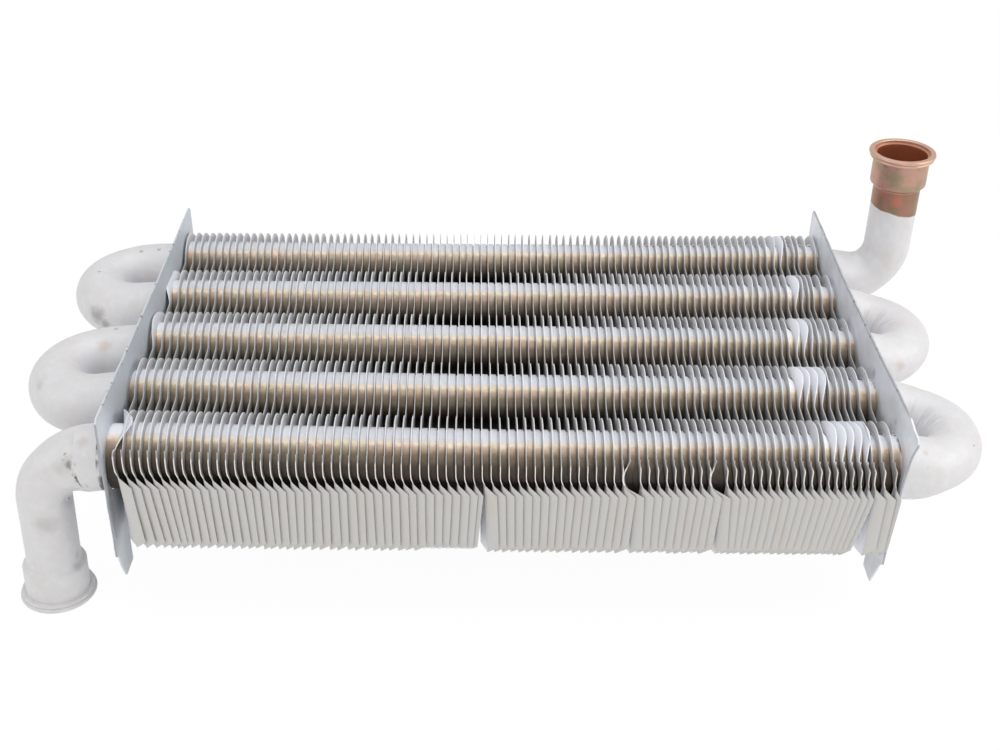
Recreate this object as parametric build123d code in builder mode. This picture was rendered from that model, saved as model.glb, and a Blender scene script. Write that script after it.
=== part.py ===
# Boiler heat exchanger: five finned tube rows between two end plates, in millimetres, +Z up.
#
# X runs along the tubes, with the inlet at -X and the outlet at +X. Y runs from row 1 at the front to row 5
# at the back. The origin lies under the middle of the block, level with the inlet's downward mouth.
# Water enters the inlet elbow, passes rows 1 to 5 in turn through the bends, and leaves by the outlet elbow.
import os
from math import cos, radians, sin, sqrt

from build123d import *

# Tube rows
row_count = 5
row_pitch = 32.0
tube_outer = 20.0
tube_wall = 1.0

# Fins
fin_count = 91
fin_pitch = 2.62
fin_thickness = 0.35
fin_group_size = 7
fin_tube_gap = 0.05
fin_front_margin = 13.0
lobe_radius = 14.3
lobe_foot_height = 8.5
fin_bottom_depth = 25.2

# Folded edge strips of the fins
tab_width = 4.5
tab_angle = 78.0
tab_top_height = 4.0
tab_bottom_rise = 3.0

# End plates
plate_thickness = 1.0
plate_fin_gap = 2.95
plate_top_height = 20.8
plate_bottom_depth = 28.6
plate_corner_chamfer = 1.5
plate_hole_gap = 0.3
foot_setback = 2.5
foot_shoulder_drop = 2.0
foot_slope_width = 5.5
foot_width = 8.6
foot_height = 12.4

# Tube ends outside the plates
inlet_stub_length = 8.0
outlet_stub_length = 11.0
bend_stub_length = 6.5
hairpin_leg_length = 12.2

# Return bends and elbows, brazed into the tube ends
return_bend_outer = 17.8
elbow_outer = 17.2
fitting_wall = 0.9
fitting_insertion = 7.0
elbow_radius = 15.0
mouth_reach = 53.0

# Belled socket on each elbow
socket_bore = 18.4
socket_wall = 1.0
socket_depth = 12.2
shoulder_length = 1.8
flange_outer = 24.4
flange_thickness = 2.6
flange_edge_radius = 1.1
mouth_step_bore = 20.2
mouth_step_depth = 1.4

# Places worked out from the sizes above
tube_bore = tube_outer - 2 * tube_wall
rows_y = [(row - (row_count - 1) / 2) * row_pitch for row in range(row_count)]
axis_z = mouth_reach
fin_stack_length = (fin_count - 1) * fin_pitch + fin_thickness
plate_inner_x = fin_stack_length / 2 + plate_fin_gap
plate_outer_x = plate_inner_x + plate_thickness
block_half_depth = rows_y[-1] + fin_front_margin


def hollow_bend(path, outer, bore):
    """Sweep a round tube wall along a path, starting from a section square to the path."""
    with BuildPart() as tube:
        with BuildSketch(Plane(path.line @ 0, z_dir=path.line % 0)):
            Circle(outer / 2)
            Circle(bore / 2, mode=Mode.SUBTRACT)
        sweep(path=path.line)
    return tube.part


def save(part, label):
    """Label one finished piece and write it to its own file."""
    part.label = label
    export_step(part, f"parts/{label}.step")


def make_fin():
    """One fin with its back face at X=0: a sheet with a lobe over each tube and a folded strip at each edge."""
    fin_bottom = axis_z - fin_bottom_depth
    lobe_foot = axis_z + lobe_foot_height
    with BuildPart() as fin:
        with BuildSketch(Plane.YZ):
            with Locations(*[(y, axis_z) for y in rows_y]):
                Circle(lobe_radius)
            with Locations((0, lobe_foot)):
                below = (Align.CENTER, Align.MAX)
                Rectangle(3 * block_half_depth, 3 * lobe_radius, align=below, mode=Mode.SUBTRACT)
            with Locations((0, fin_bottom)):
                Rectangle(2 * block_half_depth, lobe_foot - fin_bottom, align=(Align.CENTER, Align.MIN))
            with Locations(*[(y, axis_z) for y in rows_y]):
                Circle(tube_outer / 2 + fin_tube_gap, mode=Mode.SUBTRACT)
        extrude(amount=fin_thickness)
        for side in (-1, 1):
            fold = (0, side * block_half_depth, axis_z)
            across = (sin(radians(tab_angle)), side * cos(radians(tab_angle)), 0)
            with BuildSketch(Plane(fold, x_dir=across, z_dir=(across[1], -across[0], 0))):
                with BuildLine():
                    Polyline(
                        (0, tab_top_height),
                        (tab_width, tab_top_height - tab_width),
                        (tab_width, tab_bottom_rise - fin_bottom_depth),
                        (0, -fin_bottom_depth),
                        close=True,
                    )
                make_face()
            extrude(amount=side * fin_thickness)
    return fin.part


def make_end_plate(side):
    """The plate at one end: flat sheet with a hole for each tube and a sloped foot below each end."""
    inner_face = side * plate_inner_x
    plate_top = axis_z + plate_top_height
    plate_bottom = axis_z - plate_bottom_depth
    foot_outer = block_half_depth - foot_setback
    foot_toe = foot_outer - foot_slope_width
    foot_inner = foot_toe - foot_width
    with BuildPart() as plate:
        with BuildSketch(Plane.YZ.offset(inner_face)):
            with BuildLine():
                for end in (-1, 1):
                    Polyline(
                        (0, plate_top),
                        (end * (block_half_depth - plate_corner_chamfer), plate_top),
                        (end * block_half_depth, plate_top - plate_corner_chamfer),
                        (end * block_half_depth, plate_bottom),
                        (end * foot_outer, plate_bottom - foot_shoulder_drop),
                        (end * foot_toe, plate_bottom - foot_height),
                        (end * foot_inner, plate_bottom - foot_height),
                        (end * foot_inner, plate_bottom),
                        (0, plate_bottom),
                    )
            make_face()
            with Locations(*[(y, axis_z) for y in rows_y]):
                Circle(tube_outer / 2 + plate_hole_gap, mode=Mode.SUBTRACT)
        extrude(amount=side * plate_thickness)
    return plate.part


def make_straight_tube(row):
    """Row 1's tube: open at both ends, from the inlet's stub to the first bend's stub."""
    with BuildPart() as tube:
        with BuildSketch(Plane.YZ.offset(-plate_outer_x - inlet_stub_length)):
            with Locations((rows_y[row], axis_z)):
                Circle(tube_outer / 2)
                Circle(tube_bore / 2, mode=Mode.SUBTRACT)
        extrude(amount=2 * plate_outer_x + inlet_stub_length + bend_stub_length)
    return tube.part


def make_hairpin_tube(front_row, back_stub_length):
    """Two rows bent from one tube, with the bend outside the left plate and both ends at the right."""
    bend_x = -plate_outer_x - hairpin_leg_length
    front_y, back_y = rows_y[front_row], rows_y[front_row + 1]
    with BuildLine() as path:
        Line((plate_outer_x + bend_stub_length, front_y, axis_z), (bend_x, front_y, axis_z))
        ThreePointArc(
            (bend_x, front_y, axis_z),
            (bend_x - row_pitch / 2, (front_y + back_y) / 2, axis_z),
            (bend_x, back_y, axis_z),
        )
        Line((bend_x, back_y, axis_z), (plate_outer_x + back_stub_length, back_y, axis_z))
    return hollow_bend(path, tube_outer, tube_bore)


def make_return_bend(front_row):
    """The bend that joins two rows outside the right plate, brazed into their stubs."""
    bend_x = plate_outer_x + bend_stub_length
    leg_x = bend_x - fitting_insertion
    front_y, back_y = rows_y[front_row], rows_y[front_row + 1]
    with BuildLine() as path:
        Line((leg_x, front_y, axis_z), (bend_x, front_y, axis_z))
        ThreePointArc(
            (bend_x, front_y, axis_z),
            (bend_x + row_pitch / 2, (front_y + back_y) / 2, axis_z),
            (bend_x, back_y, axis_z),
        )
        Line((bend_x, back_y, axis_z), (leg_x, back_y, axis_z))
    return hollow_bend(path, return_bend_outer, return_bend_outer - 2 * fitting_wall)


def make_elbow(row, side, stub_length):
    """An elbow that turns down at the left (side -1) or up at the right (side 1) and ends in a belled socket."""
    y = rows_y[row]
    bend_x = plate_outer_x + stub_length
    leg_x = bend_x + elbow_radius
    corner = elbow_radius * (1 - 1 / sqrt(2))
    outer = elbow_outer / 2
    bore = outer - fitting_wall
    body = socket_bore / 2 + socket_wall
    shoulder_top = mouth_reach - socket_depth
    shoulder_foot = shoulder_top - shoulder_length
    underside = mouth_reach - flange_thickness
    with BuildLine() as path:
        Line((side * (bend_x - fitting_insertion), y, axis_z), (side * bend_x, y, axis_z))
        ThreePointArc(
            (side * bend_x, y, axis_z),
            (side * (leg_x - corner), y, axis_z + side * corner),
            (side * leg_x, y, axis_z + side * elbow_radius),
        )
        Line((side * leg_x, y, axis_z + side * elbow_radius), (side * leg_x, y, axis_z + side * shoulder_foot))
    leg_axis = Axis((side * leg_x, y, axis_z), (0, 0, side))
    with BuildPart() as elbow:
        add(hollow_bend(path, elbow_outer, 2 * bore))
        with BuildSketch(Plane((side * leg_x, y, axis_z), x_dir=(side, 0, 0), z_dir=(0, -1, 0))) as profile:
            with BuildLine():
                Polyline(
                    (bore, shoulder_foot),
                    (outer, shoulder_foot),
                    (body, shoulder_top),
                    (body, underside),
                    (flange_outer / 2, underside),
                    (flange_outer / 2, mouth_reach),
                    (mouth_step_bore / 2, mouth_reach),
                    (mouth_step_bore / 2, mouth_reach - mouth_step_depth),
                    (socket_bore / 2, mouth_reach - mouth_step_depth),
                    (socket_bore / 2, shoulder_top),
                    close=True,
                )
            make_face()
            fillet(profile.vertices().group_by(Axis.X)[-1], flange_edge_radius)
        revolve(axis=leg_axis)
    return elbow.part


os.makedirs("parts", exist_ok=True)

for side, name in ((-1, "left"), (1, "right")):
    save(make_end_plate(side), f"{name}_end_plate")

save(make_straight_tube(0), "row_1_tube")
save(make_hairpin_tube(1, bend_stub_length), "rows_2_3_hairpin_tube")
save(make_hairpin_tube(3, outlet_stub_length), "rows_4_5_hairpin_tube")
save(make_return_bend(0), "rows_1_2_return_bend")
save(make_return_bend(2), "rows_3_4_return_bend")
save(make_elbow(0, -1, inlet_stub_length), "inlet_elbow")
save(make_elbow(row_count - 1, 1, outlet_stub_length), "outlet_elbow")

fin = make_fin()
for first in range(0, fin_count, fin_group_size):
    last = min(first + fin_group_size, fin_count)
    with BuildPart() as fins:
        with Locations(*[(index * fin_pitch - fin_stack_length / 2, 0, 0) for index in range(first, last)]):
            add(fin)
    save(fins.part, f"fins_{first + 1:02d}_to_{last:02d}")
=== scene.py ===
from functools import reduce
from math import atan2, cos, pi, radians, sin, sqrt
from random import Random

import bmesh
import bpy
from bpy.props import FloatProperty, FloatVectorProperty, IntProperty, PointerProperty
from mathutils import Euler, Matrix, Vector, noise


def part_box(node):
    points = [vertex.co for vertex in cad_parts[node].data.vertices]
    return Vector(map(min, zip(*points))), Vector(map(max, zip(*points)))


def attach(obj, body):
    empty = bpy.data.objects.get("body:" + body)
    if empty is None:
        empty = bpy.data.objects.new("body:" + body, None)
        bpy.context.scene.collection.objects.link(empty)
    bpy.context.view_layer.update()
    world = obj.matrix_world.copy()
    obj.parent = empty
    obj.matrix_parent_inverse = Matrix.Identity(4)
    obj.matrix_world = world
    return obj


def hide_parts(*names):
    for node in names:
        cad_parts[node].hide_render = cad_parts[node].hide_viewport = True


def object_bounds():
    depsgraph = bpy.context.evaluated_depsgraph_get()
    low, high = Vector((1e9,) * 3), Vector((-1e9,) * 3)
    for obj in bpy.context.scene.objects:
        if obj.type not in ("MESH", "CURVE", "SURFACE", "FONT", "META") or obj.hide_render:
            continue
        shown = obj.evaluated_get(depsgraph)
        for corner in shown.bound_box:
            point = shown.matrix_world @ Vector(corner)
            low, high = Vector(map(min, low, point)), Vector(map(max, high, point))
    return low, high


bl_info = {
    "name": "Boiler heat exchanger",
    "version": (1, 0, 0),
    "blender": (4, 5, 0),
    "location": "View3D > Sidebar > Exchanger",
    "description": "Dresses a boiler heat exchanger's fins, tubes, plates and elbows, and sets its stage",
    "category": "Object",
}

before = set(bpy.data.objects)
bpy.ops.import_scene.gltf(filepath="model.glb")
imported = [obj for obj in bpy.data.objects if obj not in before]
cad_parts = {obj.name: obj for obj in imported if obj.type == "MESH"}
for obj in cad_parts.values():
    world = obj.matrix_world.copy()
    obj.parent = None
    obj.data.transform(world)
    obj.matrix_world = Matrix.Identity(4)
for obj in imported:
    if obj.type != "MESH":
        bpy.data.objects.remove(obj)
cad_low, cad_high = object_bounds()

MM = 0.001
ALONG = Vector((1, 0, 0))
BACK = Vector((0, 1, 0))
UP = Vector((0, 0, 1))

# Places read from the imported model, in metres
row_1_low, row_1_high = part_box("row_1_tube")
hairpin_low, hairpin_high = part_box("rows_2_3_hairpin_tube")
long_hairpin_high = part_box("rows_4_5_hairpin_tube")[1]
left_plate_low, left_plate_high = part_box("left_end_plate")
right_plate_low, right_plate_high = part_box("right_end_plate")
outlet_low, outlet_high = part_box("outlet_elbow")
bend_low, bend_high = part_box("rows_1_2_return_bend")
tube_radius = (row_1_high.z - row_1_low.z) / 2
axis_z = (row_1_high.z + row_1_low.z) / 2
row_pitch = hairpin_high.y - hairpin_low.y - 2 * tube_radius
rows_y = [row_1_low.y + tube_radius + row * row_pitch for row in range(5)]
fin_nodes = sorted(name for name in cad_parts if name.startswith("fins_"))
fins_per_node = 7
first_fin_low, first_fin_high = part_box(fin_nodes[0])
fin_pitch = (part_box(fin_nodes[1])[0].x - first_fin_low.x) / fins_per_node


def eased(value, start, end):
    """0 before start, 1 past end, and a smooth rise between them."""
    share = min(1, max(0, (value - start) / (end - start)))
    return share * share * (3 - 2 * share)


def between(table, position):
    """The value at a position in a short list of (position, value), straight between its entries."""
    before = table[0]
    for after in table:
        if position <= after[0]:
            if after[0] == before[0]:
                return after[1]
            share = (position - before[0]) / (after[0] - before[0])
            return before[1] + share * (after[1] - before[1])
        before = after
    return before[1]


# Sizes and colours


def length_property(name, description, default):
    """A size in metres."""
    return FloatProperty(name=name, description=description, default=default, unit="LENGTH")


def angle_property(name, description, degrees):
    """An angle, given in degrees."""
    return FloatProperty(name=name, description=description, default=radians(degrees), subtype="ANGLE")


def colour_property(name, description, default):
    """A colour."""
    return FloatVectorProperty(name=name, description=description, default=default, subtype="COLOR")


class FinSizes(bpy.types.PropertyGroup):
    """Sizes of one fin; the sheet stands across the tubes."""

    thickness: length_property("Thickness", "The sheet with its paint", 0.25 * MM)
    lobe_radius: length_property("Lobe radius", "Round top over each tube", first_fin_high.z - axis_z)
    valley_height: length_property("Valley height", "Valley floor above the tube axis", 8.5 * MM)
    valley_fillet: length_property("Valley fillet", "Rounding between valley and lobe", 1.6 * MM)
    bottom_depth: length_property("Bottom depth", "Lower edge below the tube axis", axis_z - first_fin_low.z)
    shoulder_rise: length_property(
        "Shoulder rise", "How far the front corner stands above the valleys", 1.0 * MM
    )
    back_shoulder_drop: length_property(
        "Back shoulder drop", "How far the back corner lies below the valleys", 2.0 * MM
    )
    collar_length: length_property("Collar length", "Drawn collar round each tube", fin_pitch - 0.5 * MM)
    collar_flare: length_property("Collar flare", "Rounding at the foot of a collar", 0.35 * MM)
    collar_gap: length_property("Collar gap", "Solder between tube and collar", 0.25 * MM)
    strip_turn: angle_property("Strip turn", "Angle of the folded edge strip", 75)
    strip_bend: length_property("Strip bend", "Bend radius of the fold", 1.2 * MM)
    strip_pull: length_property("Strip pull", "How far the fold pulls the sheet", 0.6 * MM)
    strip_top: length_property("Strip top", "Top of the fold above the tube axis", 0.8 * MM)
    strip_chamfer: length_property("Strip chamfer", "Drop of the strip's top to its free edge", 3.4 * MM)
    strip_rise: length_property("Strip rise", "Rise of the strip's bottom to its free edge", 3.0 * MM)


class TubeSizes(bpy.types.PropertyGroup):
    """Sizes of the tubes, bends and elbows."""

    wall: length_property("Wall", "Wall of the tubes", 1.0 * MM)
    fitting_wall: length_property("Fitting wall", "Wall of the bends and elbows", 0.9 * MM)
    return_radius: length_property("Return bend radius", "Outer radius of the return bends", 8.9 * MM)
    elbow_radius: length_property("Elbow tube radius", "Outer radius of the elbows", 8.6 * MM)
    elbow_bend: length_property("Elbow bend", "Bend radius of the elbows' centre line", 15.0 * MM)
    brazed_length: length_property("Brazed length", "How far a bend tapers from its brazed end", 9.0 * MM)
    stub_radius: length_property(
        "Inlet stub radius", "Outer radius of the belled stub at the inlet", 10.6 * MM
    )
    segments: IntProperty(name="Segments", description="Faces round a tube", default=60, min=12)


class SocketSizes(bpy.types.PropertyGroup):
    """Sizes of the belled socket on each elbow."""

    bore_radius: length_property("Bore radius", "Inside", 9.2 * MM)
    body_radius: length_property("Body radius", "Outside", 10.2 * MM)
    depth: length_property("Depth", "From mouth to shoulder", 12.2 * MM)
    shoulder: length_property("Shoulder", "Length of the step in the wall", 1.8 * MM)
    flange_thickness: length_property("Flange thickness", "The flange along the leg", 2.6 * MM)
    step_radius: length_property("Step radius", "Step in the mouth", 10.1 * MM)
    step_depth: length_property("Step depth", "Step in the mouth", 1.4 * MM)


class PlateSizes(bpy.types.PropertyGroup):
    """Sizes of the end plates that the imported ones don't give."""

    thickness_share: FloatProperty(
        name="Thickness share", description="How much of the packed plate's thickness is kept", default=0.55,
        subtype="FACTOR",
    )
    grid: length_property("Grid", "Spacing of the cuts that let a plate bend", 2.6 * MM)


class Finishes(bpy.types.PropertyGroup):
    """Colours of the paint, the metal under it and the dirt on it, and of painted light and shade."""

    fin_paint: colour_property("Fin paint", "Silver paint on the fins", (0.6, 0.6, 0.61))
    strip_paint: colour_property("Strip paint", "Warmer silver paint on the strips", (0.6, 0.588, 0.568))
    fitting_paint: colour_property("Fitting paint", "Silver paint on the bends", (0.7, 0.69, 0.7))
    plate_paint: colour_property("Plate paint", "Silver paint on the end plates", (0.6, 0.64, 0.69))
    # Pale paint dusted from above, made bright enough to stand in for light; the same colour paints light on
    # lobes, plates and behind the strips
    top_paint_and_light: colour_property("Top paint", "Paint dusted on the tubes from above", (0.9, 0.915, 0.96))
    lit_edge: colour_property(
        "Lit edge", "Front edges above the strips, which catch the light", (1.0, 0.94, 0.88)
    )
    warm_metal: colour_property("Warm metal", "Copper through thin paint", (0.6, 0.48, 0.37))
    # Painted highlight on the tubes' front shoulders, tinted like copper
    painted_gleam: colour_property("Gleam", "Thin paint over copper at the tubes' shoulders", (0.88, 0.77, 0.63))
    # Bare fin metal where no paint came, dark enough to paint the shade deep between the fins
    deep_fin_metal_and_shade: colour_property("Fin metal", "Fins deep down, where no paint came", (0.26, 0.25, 0.25))
    copper: colour_property("Copper", "Bare copper of the outlet", (0.52, 0.31, 0.23))
    tarnish: colour_property("Tarnish", "Greenish brown copper", (0.34, 0.29, 0.18))
    soot: colour_property("Soot", "Dirt and soot", (0.09, 0.075, 0.06))
    smudge: colour_property("Smudge", "Grey smudges on the hairpins", (0.22, 0.21, 0.19))
    rust: colour_property("Flux stain", "Brown stains of flux", (0.42, 0.27, 0.14))


class StageSettings(bpy.types.PropertyGroup):
    """Camera, floor and world light."""

    camera_x: length_property("Camera X", "Camera place", -6.9 * MM)
    camera_y: length_property("Camera Y", "Camera place", -424.4 * MM)
    camera_z: length_property("Camera Z", "Camera place", 308.7 * MM)
    camera_pitch: angle_property("Camera pitch", "Down from level", 31.78)
    camera_yaw: angle_property("Camera yaw", "To the right", 0.83)
    camera_roll: angle_property("Camera roll", "Roll", 1.04)
    lens: FloatProperty(name="Lens", description="Focal length in millimetres", default=50.87)
    floor_colour: colour_property("Floor", "Colour of the floor", (0.93, 0.93, 0.93))
    floor_glow: FloatProperty(
        name="Floor glow", description="Brightness of the white that the camera sees", default=1.02
    )
    floor_glow_share: FloatProperty(
        name="Floor glow share", description="Share of that white; the rest keeps the shadow", default=0.94,
        subtype="FACTOR",
    )
    world_strength: FloatProperty(name="World strength", description="Light all round", default=0.6)


# Materials


class Finish:
    """A material's node tree, put together one step at a time."""

    def __init__(self, name, roughness=0.5, metallic=0.0):
        self.material = bpy.data.materials.new(name)
        self.material.use_nodes = True
        self.nodes = self.material.node_tree.nodes
        self.links = self.material.node_tree.links
        self.nodes.clear()
        self.shader = self.nodes.new("ShaderNodeBsdfPrincipled")
        self.output = self.nodes.new("ShaderNodeOutputMaterial")
        self.links.new(self.shader.outputs[0], self.output.inputs["Surface"])
        self.give("Roughness", roughness)
        self.give("Metallic", metallic)
        # Patterns and marks go by the place where a point was drawn, before the block was twisted
        drawn = self.nodes.new("ShaderNodeAttribute")
        drawn.attribute_name = "drawn_place"
        self.place = drawn.outputs["Vector"]

    def feed(self, socket, value):
        """Link an output to a socket, or set the socket to a plain value."""
        if isinstance(value, bpy.types.NodeSocket):
            self.links.new(value, socket)
        elif isinstance(socket.default_value, float):
            socket.default_value = value
        elif len(socket.default_value) == 4:
            socket.default_value = (*value[:3], 1)
        else:
            socket.default_value = value

    def give(self, name, value):
        """Give one of the shader's sockets a value or a pattern."""
        self.feed(self.shader.inputs[name], value)

    def math(self, operation, *values, clamp=False):
        """One step of arithmetic on numbers."""
        node = self.nodes.new("ShaderNodeMath")
        node.operation = operation
        node.use_clamp = clamp
        for socket, value in zip(node.inputs, values):
            self.feed(socket, value)
        return node.outputs[0]

    def vector(self, operation, first, second, output="Vector"):
        """One step of arithmetic on places and directions."""
        node = self.nodes.new("ShaderNodeVectorMath")
        node.operation = operation
        for socket, value in zip(node.inputs, (first, second)):
            self.feed(socket, value)
        return node.outputs[output]

    def product(self, *values):
        """Numbers multiplied together."""
        return reduce(lambda first, second: self.math("MULTIPLY", first, second), values)

    def total(self, *values):
        """Numbers added up."""
        return reduce(lambda first, second: self.math("ADD", first, second), values)

    def largest(self, *values):
        """The largest of some numbers."""
        return reduce(lambda first, second: self.math("MAXIMUM", first, second), values)

    def difference(self, first, second):
        """One number less another."""
        return self.math("SUBTRACT", first, second)

    def length(self, first, second):
        """The length of a line that reaches so far along two axes."""
        return self.math("SQRT", self.total(self.math("POWER", first, 2), self.math("POWER", second, 2)))

    def rise(self, value, start, end):
        """0 before start, 1 past end, and a smooth rise between them."""
        node = self.nodes.new("ShaderNodeMapRange")
        node.interpolation_type = "SMOOTHSTEP"
        for name, given in (("Value", value), ("From Min", start), ("From Max", end)):
            self.feed(node.inputs[name], given)
        return node.outputs["Result"]

    def axes(self):
        """The three coordinates of the place, in metres."""
        node = self.nodes.new("ShaderNodeSeparateXYZ")
        self.links.new(self.place, node.inputs[0])
        return node.outputs

    def joined(self, x, y):
        """A place from its first two coordinates."""
        node = self.nodes.new("ShaderNodeCombineXYZ")
        self.links.new(x, node.inputs[0])
        self.links.new(y, node.inputs[1])
        return node.outputs[0]

    def stretched(self, scale):
        """The place with each axis scaled, for a pattern that runs one way."""
        node = self.nodes.new("ShaderNodeMapping")
        self.links.new(self.place, node.inputs["Vector"])
        node.inputs["Scale"].default_value = scale
        return node.outputs[0]

    def cloud(self, size, detail=3.0, place=None, roughness=0.55):
        """Soft noise whose patches are about this size, in metres."""
        node = self.nodes.new("ShaderNodeTexNoise")
        self.links.new(place or self.place, node.inputs["Vector"])
        node.inputs["Scale"].default_value = 1 / size
        node.inputs["Detail"].default_value = detail
        node.inputs["Roughness"].default_value = roughness
        return node.outputs["Fac"]

    def uneven(self, size, amount, detail=3):
        """Soft noise to both sides of 0, which makes an edge ragged."""
        return self.product(self.difference(self.cloud(size, detail), 0.5), amount)

    def blend(self, share, first, second, blend_type="MIX"):
        """Mix two colours, or multiply one by the other."""
        node = self.nodes.new("ShaderNodeMix")
        node.data_type = "RGBA"
        node.blend_type = blend_type
        self.feed(node.inputs["Factor"], share)
        colour_1, colour_2 = [socket for socket in node.inputs if socket.type == "RGBA"]
        self.feed(colour_1, first)
        self.feed(colour_2, second)
        return next(socket for socket in node.outputs if socket.type == "RGBA")

    def ramp(self, value, stops):
        """A colour that changes along a value from 0 to 1, given as (value, colour) stops."""
        node = self.nodes.new("ShaderNodeValToRGB")
        self.links.new(value, node.inputs["Fac"])
        elements = node.color_ramp.elements
        while len(elements) < len(stops):
            elements.new(0.5)
        for element, (position, colour) in zip(elements, stops):
            element.position = position
            element.color = (*colour, 1)
        return node.outputs["Color"]

    def spot(self, centre, radius):
        """1 at a place and 0 past a radius round it, with a ragged edge."""
        apart = self.vector("DISTANCE", self.place, centre, output="Value")
        away = self.total(apart, self.uneven(radius * 0.8, radius, 5))
        return self.rise(away, radius, radius * 0.1)

    def stains(self, colour, marks, dirt, strength=0.7):
        """Dirty or stained places on a colour: each mark is a centre in millimetres and a radius."""
        spots = [self.spot((x * MM, y * MM, z * MM), radius * MM) for x, y, z, radius in marks]
        return self.blend(self.product(self.largest(*spots), strength), colour, dirt)

    def streak(self, start, end, width):
        """1 on a straight line between two places, fading to 0 at its ragged sides."""
        run = end - start
        away = self.vector("SUBTRACT", self.place, start)
        share = self.vector("DOT_PRODUCT", away, run / run.length_squared, output="Value")
        share = self.math("MAXIMUM", self.math("MINIMUM", share, 1), 0)
        apart = self.vector("DISTANCE", away, self.vector("MULTIPLY", run, share), output="Value")
        return self.rise(self.total(apart, self.uneven(1.4 * MM, 2 * width)), width, width * 0.3)

    def streaks(self, colour, lines, dirt, strength=0.8):
        """Dark lines on a colour, each a start, an end and a width in millimetres."""
        for start, end, width in lines:
            line = self.streak(Vector(start) * MM, Vector(end) * MM, width * MM)
            colour = self.blend(self.product(line, strength), colour, dirt)
        return colour

    def bump(self, height, strength, distance):
        """Raise the surface by a height pattern."""
        node = self.nodes.new("ShaderNodeBump")
        node.inputs["Strength"].default_value = strength
        node.inputs["Distance"].default_value = distance
        self.links.new(height, node.inputs["Height"])
        self.give("Normal", node.outputs[0])


def shaded(colour, share):
    """A colour made darker, or lighter with a share above 1."""
    return [min(1, channel * share) for channel in colour]


def silver_paint(name, paint, warm, warm_share, roughness=0.55, metallic=0.25):
    """Matte silver paint: cloudy, a little warm where it is thin, with fine grains and a few dark specks."""
    finish = Finish(name, roughness, metallic)
    thin = finish.rise(finish.cloud(9 * MM, 4), 0.45, 0.75)
    colour = finish.blend(finish.product(thin, warm_share), paint, warm)
    pale = finish.rise(finish.cloud(3 * MM, 3), 0.4, 0.8)
    colour = finish.blend(finish.product(pale, 0.25), colour, shaded(paint, 1.25))
    specks = finish.rise(finish.cloud(0.8 * MM, 1), 0.76, 0.82)
    colour = finish.blend(finish.product(specks, 0.35), colour, shaded(paint, 0.45))
    finish.bump(finish.cloud(0.5 * MM, 2), strength=0.25, distance=0.08 * MM)
    return finish, colour


def fitting_paint(name, colours):
    """The smoother silver paint of the tubes, bends and elbows."""
    paint, warm = colours.fitting_paint, colours.warm_metal
    return silver_paint(name, paint, warm, warm_share=0.16, roughness=0.5, metallic=0.12)


def row_polar(finish):
    """The distance from the nearest tube's axis, the degrees from its top to the front, and the height."""
    _, y, z = finish.axes()
    across = finish.math("FLOORED_MODULO", finish.difference(y, rows_y[0] - row_pitch / 2), row_pitch)
    across = finish.difference(row_pitch / 2, across)
    height = finish.difference(z, axis_z)
    angle = finish.product(finish.math("ARCTAN2", across, height), 180 / pi)
    return finish.length(across, height), angle, height


def tube_dust_highlight_and_shade(finish, angle, colours):
    """The colour round a finned tube, and how far it is bare: dusted paint on top, thin at the sides, a
    painted highlight on the front shoulder and painted shade that darkens to black below.
    """
    top, painted_gleam, warm = colours.top_paint_and_light, colours.painted_gleam, colours.warm_metal
    # Stops in degrees from the top: pale dusted top, the painted highlight on the front shoulder, then
    # painted shade that darkens the copper to black below on both sides
    shades = (
        (-78, shaded(warm, 0.1)), (-55, warm), (-44, top), (12, top), (23, painted_gleam), (30, shaded(warm, 0.92)),
        (43, shaded(warm, 0.5)), (60, shaded(warm, 0.2)), (84, shaded(warm, 0.06)),
    )
    turned = finish.total(angle, finish.uneven(2.2 * MM, 16), 180)
    share = finish.math("DIVIDE", turned, 360)
    colour = finish.ramp(share, [((degrees + 180) / 360, shade) for degrees, shade in shades])
    bare = finish.rise(finish.math("ABSOLUTE", angle), 12, 30)
    # Each gap between two fins has its own tint
    gap = finish.cloud(3.1 * MM, 1, finish.stretched((1, 0.02, 0.02)))
    tint = finish.ramp(gap, ((0.35, (0.82, 0.82, 0.62)), (0.5, (1.0, 0.96, 0.9)), (0.65, (1.0, 0.8, 0.7))))
    return finish.blend(finish.product(bare, 0.5), colour, tint, "MULTIPLY"), bare


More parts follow.
